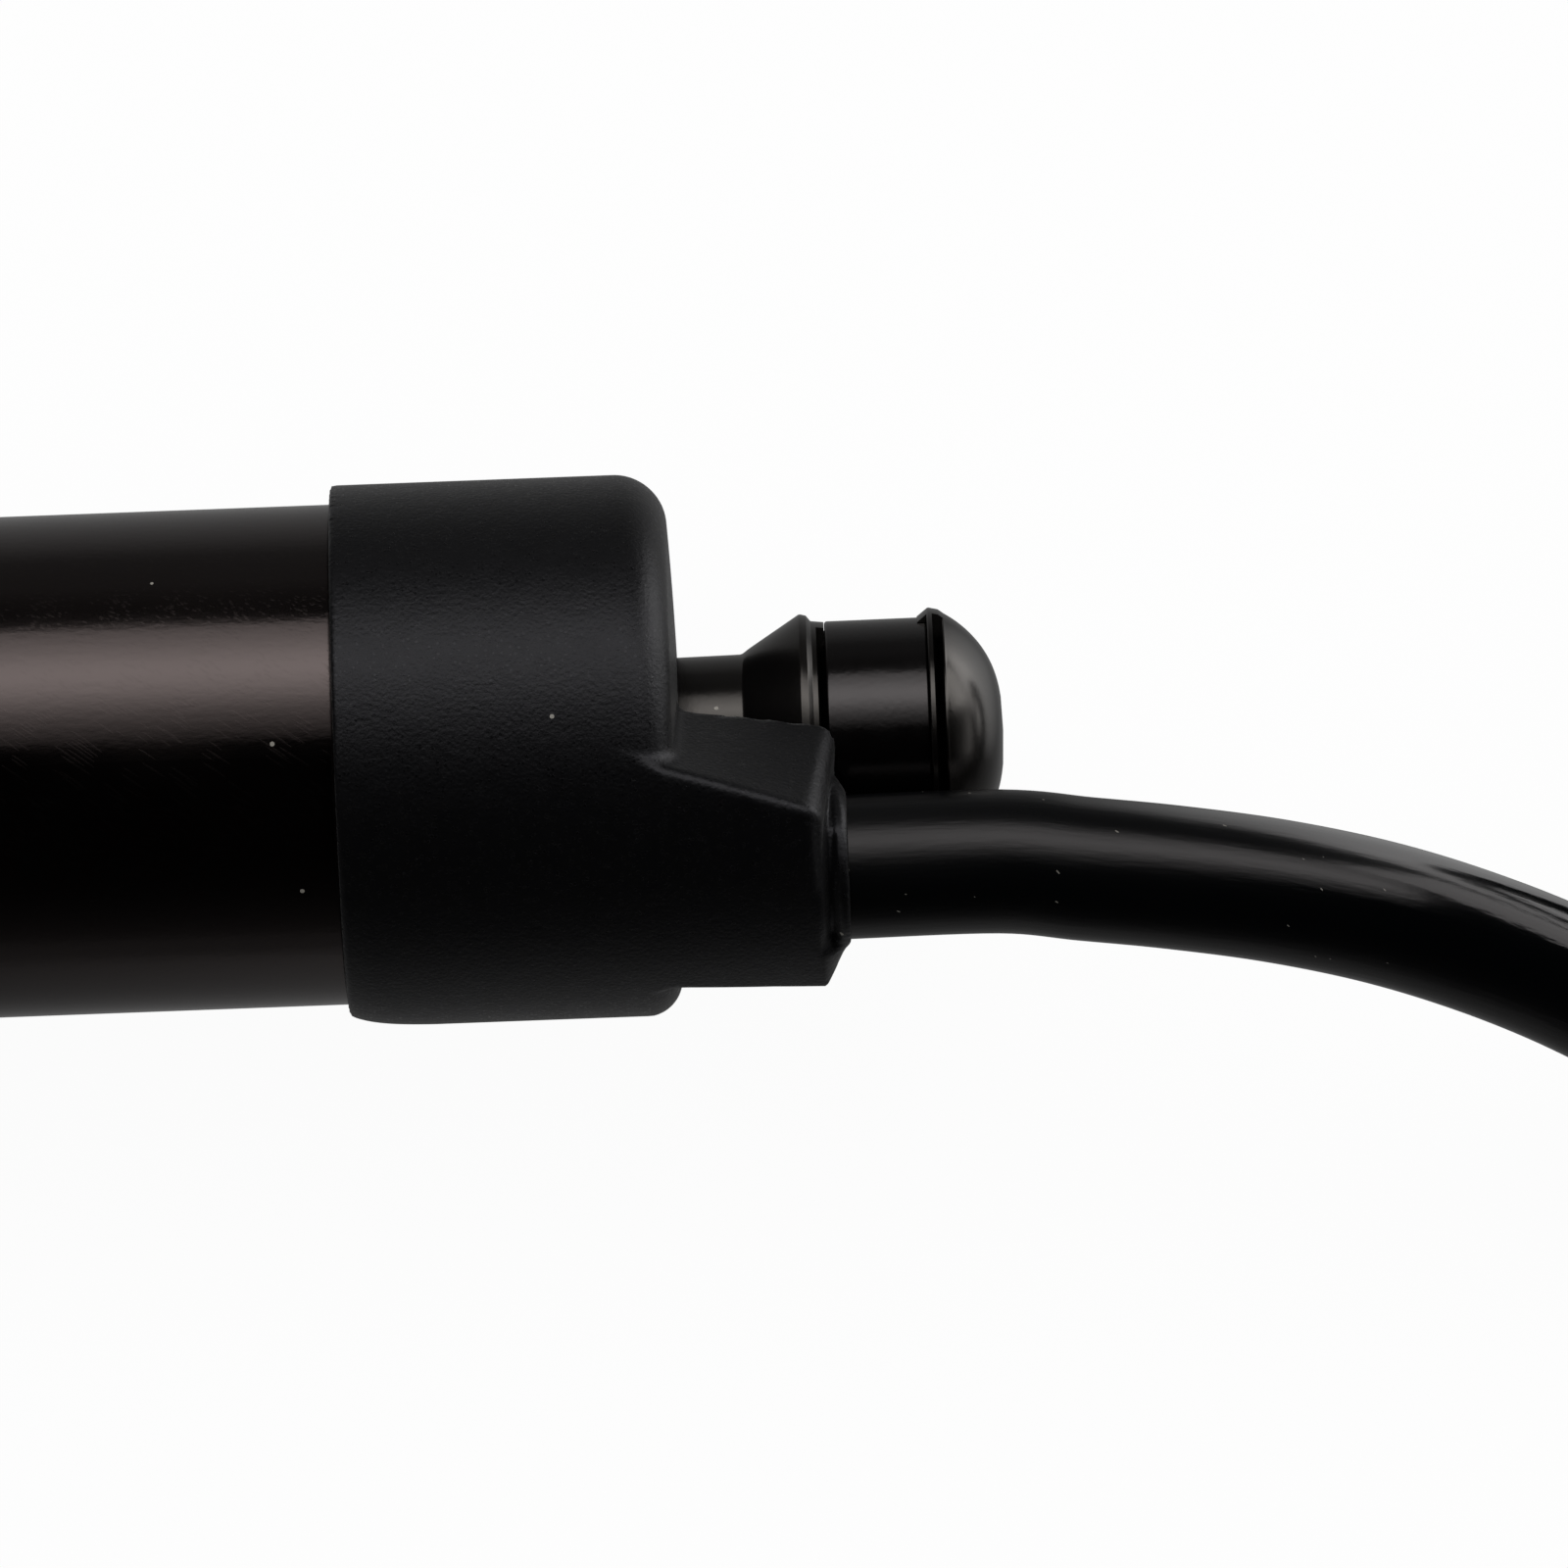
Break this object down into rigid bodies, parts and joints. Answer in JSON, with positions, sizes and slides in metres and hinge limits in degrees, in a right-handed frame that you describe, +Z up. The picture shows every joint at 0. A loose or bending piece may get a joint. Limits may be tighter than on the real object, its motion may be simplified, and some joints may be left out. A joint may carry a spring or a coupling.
{
  "type": "powered tailgate strut",
  "caption": "Electric spindle-drive strut with a ball socket at each end, a boot with a moulded cable boss, a jacketed cable and a sliding tube.",
  "frame": {"origin": "centre of the ball that the motor-end socket holds", "axes": "+X out of the motor end along the strut, +Z up from the surface that the strut lies on, away from the sockets' mouths, +Y across"},
  "size_m": [0.8371, 0.0805, 0.0382],
  "materials": {
    "black_tube": "semi-gloss black",
    "cap_plastic": "fine-grained soft black",
    "socket_black": "gloss black",
    "clip_steel": "gloss black",
    "plug_metal": "die-cast",
    "black_rubber": "matt",
    "wire_jacket": "satin",
    "board_green": "solder mask",
    "chip_black": "matt",
    "inner_plastic": "moulded",
    "carbon": "pressed carbon",
    "bright_steel": "ground",
    "bronze": "sintered",
    "can_steel": "zinc plated",
    "magnet_grey": "ferrite",
    "copper": "drawn",
    "core_steel": "laminated",
    "gear_steel": "sintered",
    "dark_metal": "die-cast",
    "gear_plastic": "natural moulded",
    "spring_steel": "oiled",
    "nut_plastic": "natural moulded",
    "cable_jacket": "satin black",
    "tie_black": "moulded",
    "connector_plastic": "moulded"
  },
  "bodies": {
    "housing": {"housing_tube": "black_tube", "end_cap": "cap_plastic", "motor_end_plug": "plug_metal", "plug_seal": "black_rubber", "motor_end_socket": "socket_black", "motor_end_clip": "clip_steel", "lead_wires": "wire_jacket", "sensor_board": "board_green", "hall_sensors": "chip_black", "suppressor_parts": "chip_black", "brush_holder": "inner_plastic", "carbon_brushes": "carbon", "brush_springs": "bright_steel", "rear_bush": "bronze", "motor_can": "can_steel", "field_magnets": "magnet_grey", "front_bush": "bronze", "rear_damper": "black_rubber", "front_damper": "black_rubber", "gearbox_plate": "dark_metal", "gearbox_screws": "bright_steel", "ring_gear": "gear_plastic", "bearing_cover": "dark_metal", "bearing_outer_race": "bright_steel", "guide_tube": "inner_plastic", "spring_seat": "inner_plastic", "lift_spring": "spring_steel", "wiper_ring": "cap_plastic", "cable_lead": "cable_jacket", "cable_hank": "cable_jacket", "hank_tie": "tie_black", "cable_connector": "connector_plastic"},
    "rotor": {"motor_shaft": "bright_steel", "sensor_magnet": "magnet_grey", "commutator": "copper", "armature_core": "core_steel", "armature_windings": "copper", "sun_gear_1": "gear_steel"},
    "stage_one": {"carrier_1": "gear_steel", "carrier_pins_1": "bright_steel"},
    "planet_1a": {"planet_1a": "gear_plastic"},
    "planet_1b": {"planet_1b": "gear_plastic"},
    "planet_1c": {"planet_1c": "gear_plastic"},
    "spindle": {"carrier_2": "gear_steel", "carrier_pins_2": "bright_steel", "bearing_inner_race": "bright_steel", "spindle": "bright_steel", "spindle_stop": "inner_plastic"},
    "planet_2a": {"planet_2a": "gear_steel"},
    "planet_2b": {"planet_2b": "gear_steel"},
    "planet_2c": {"planet_2c": "gear_steel"},
    "ball_cage": {"bearing_cage": "bronze", "bearing_balls": "bright_steel"},
    "rod": {"slide_guide": "nut_plastic", "sliding_tube": "black_tube", "push_tube": "can_steel", "spindle_nut": "nut_plastic", "rod_end_plug": "plug_metal", "rod_end_socket": "socket_black", "rod_end_clip": "clip_steel"}
  },
  "joints": [
    {"name": "motor_spin", "type": "hinge", "parent": "housing", "child": "rotor", "pos_m": [-0.08, 0, 0], "axis": [-1, 0, 0], "range_deg": [0, 134400]},
    {"name": "carrier_1_spin", "type": "hinge", "parent": "housing", "child": "stage_one", "pos_m": [-0.127, 0, 0], "axis": [-1, 0, 0], "range_deg": [0, 33600]},
    {"name": "planet_1a_spin", "type": "hinge", "parent": "stage_one", "child": "planet_1a", "pos_m": [-0.12, 0, 0.0084], "axis": [-1, 0, 0], "range_deg": [-100800, 0]},
    {"name": "planet_1b_spin", "type": "hinge", "parent": "stage_one", "child": "planet_1b", "pos_m": [-0.12, 0.00727, -0.0042], "axis": [-1, 0, 0], "range_deg": [-100800, 0]},
    {"name": "planet_1c_spin", "type": "hinge", "parent": "stage_one", "child": "planet_1c", "pos_m": [-0.12, -0.00727, -0.0042], "axis": [-1, 0, 0], "range_deg": [-100800, 0]},
    {"name": "spindle_spin", "type": "hinge", "parent": "housing", "child": "spindle", "pos_m": [-0.3, 0, 0], "axis": [-1, 0, 0], "range_deg": [0, 8400]},
    {"name": "planet_2a_spin", "type": "hinge", "parent": "spindle", "child": "planet_2a", "pos_m": [-0.1356, 0, 0.0084], "axis": [-1, 0, 0], "range_deg": [-25200, 0]},
    {"name": "planet_2b_spin", "type": "hinge", "parent": "spindle", "child": "planet_2b", "pos_m": [-0.1356, 0.00727, -0.0042], "axis": [-1, 0, 0], "range_deg": [-25200, 0]},
    {"name": "planet_2c_spin", "type": "hinge", "parent": "spindle", "child": "planet_2c", "pos_m": [-0.1356, -0.00727, -0.0042], "axis": [-1, 0, 0], "range_deg": [-25200, 0]},
    {"name": "cage_spin", "type": "hinge", "parent": "housing", "child": "ball_cage", "pos_m": [-0.153, 0, 0], "axis": [-1, 0, 0], "range_deg": [0, 3360]},
    {"name": "rod_slide", "type": "slide", "parent": "housing", "child": "rod", "axis": [-1, 0, 0], "range_m": [0, 0.28], "deforming": ["lift_spring"]}
  ],
  "couplings": [
    {"joint": "motor_spin", "follows": "rod_slide", "rad_per_m": 8377.6},
    {"joint": "carrier_1_spin", "follows": "rod_slide", "rad_per_m": 2094.4},
    {"joint": "planet_1a_spin", "follows": "rod_slide", "rad_per_m": -6283.2},
    {"joint": "planet_1b_spin", "follows": "rod_slide", "rad_per_m": -6283.2},
    {"joint": "planet_1c_spin", "follows": "rod_slide", "rad_per_m": -6283.2},
    {"joint": "spindle_spin", "follows": "rod_slide", "rad_per_m": 523.6},
    {"joint": "planet_2a_spin", "follows": "rod_slide", "rad_per_m": -1570.8},
    {"joint": "planet_2b_spin", "follows": "rod_slide", "rad_per_m": -1570.8},
    {"joint": "planet_2c_spin", "follows": "rod_slide", "rad_per_m": -1570.8},
    {"joint": "cage_spin", "follows": "rod_slide", "rad_per_m": 209.44}
  ]
}
